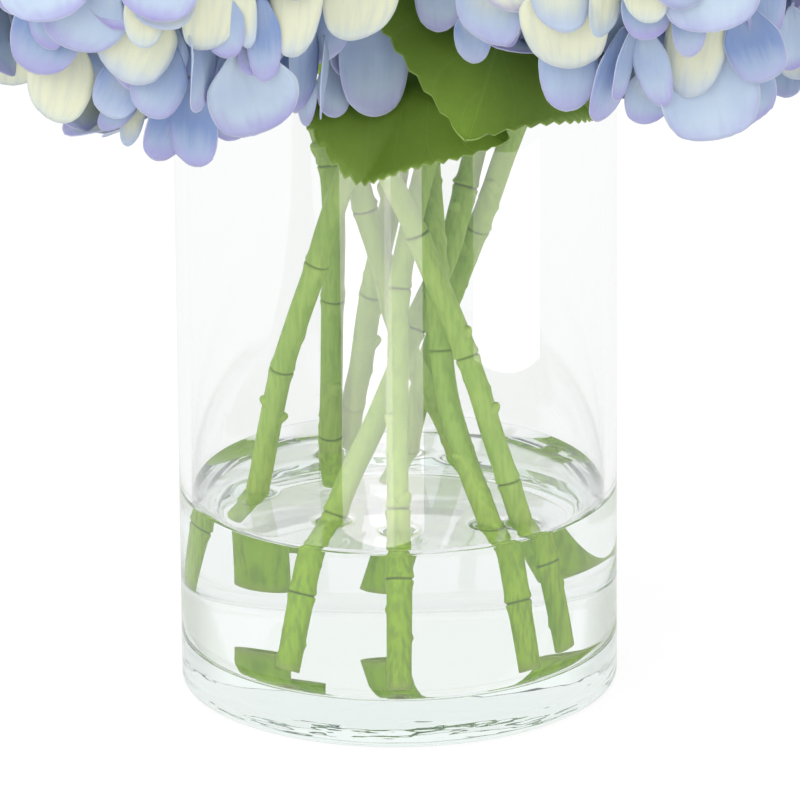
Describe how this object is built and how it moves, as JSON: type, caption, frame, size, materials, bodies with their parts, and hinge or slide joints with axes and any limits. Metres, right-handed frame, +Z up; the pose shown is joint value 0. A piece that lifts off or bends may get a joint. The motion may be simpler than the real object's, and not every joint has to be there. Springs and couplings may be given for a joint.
{
  "type": "artificial hydrangeas in a glass vase",
  "caption": "Pale blue artificial hydrangea heads on green stems with toothed leaves, standing in clear resin in a plain glass cylinder vase.",
  "frame": {"origin": "middle of the vase's flat underside", "axes": "+Z up along the vase's axis, -Y towards the front that the picture shows, +X to its right"},
  "size_m": [0.4683, 0.3569, 0.4522],
  "materials": {
    "glass": "clear polished glass",
    "resin": "clear cast resin that stands for water",
    "stem": "moulded satin plastic",
    "petal": "dyed pressed cloth, pale blue with violet edges and cream middles",
    "leaf": "coated die-cut cloth"
  },
  "bodies": {
    "root": {"vase": "glass", "water": "resin", "stem_front_left": "stem", "stem_front_right": "stem", "stem_left": "stem", "stem_right": "stem", "stem_back_left": "stem", "stem_back_right": "stem", "stem_top_left": "stem", "stem_top_right": "stem", "stem_top_front": "stem", "flower_head_front_left": "petal", "flower_head_front_right": "petal", "flower_head_left": "petal", "flower_head_right": "petal", "flower_head_back_left": "petal", "flower_head_back_right": "petal", "flower_head_top_left": "petal", "flower_head_top_right": "petal", "flower_head_top_front": "petal", "leaf_front_right": "leaf", "leaf_front_left": "leaf", "leaf_back": "leaf", "leaf_back_right": "leaf", "leaf_left": "leaf"}
  },
  "joints": []
}
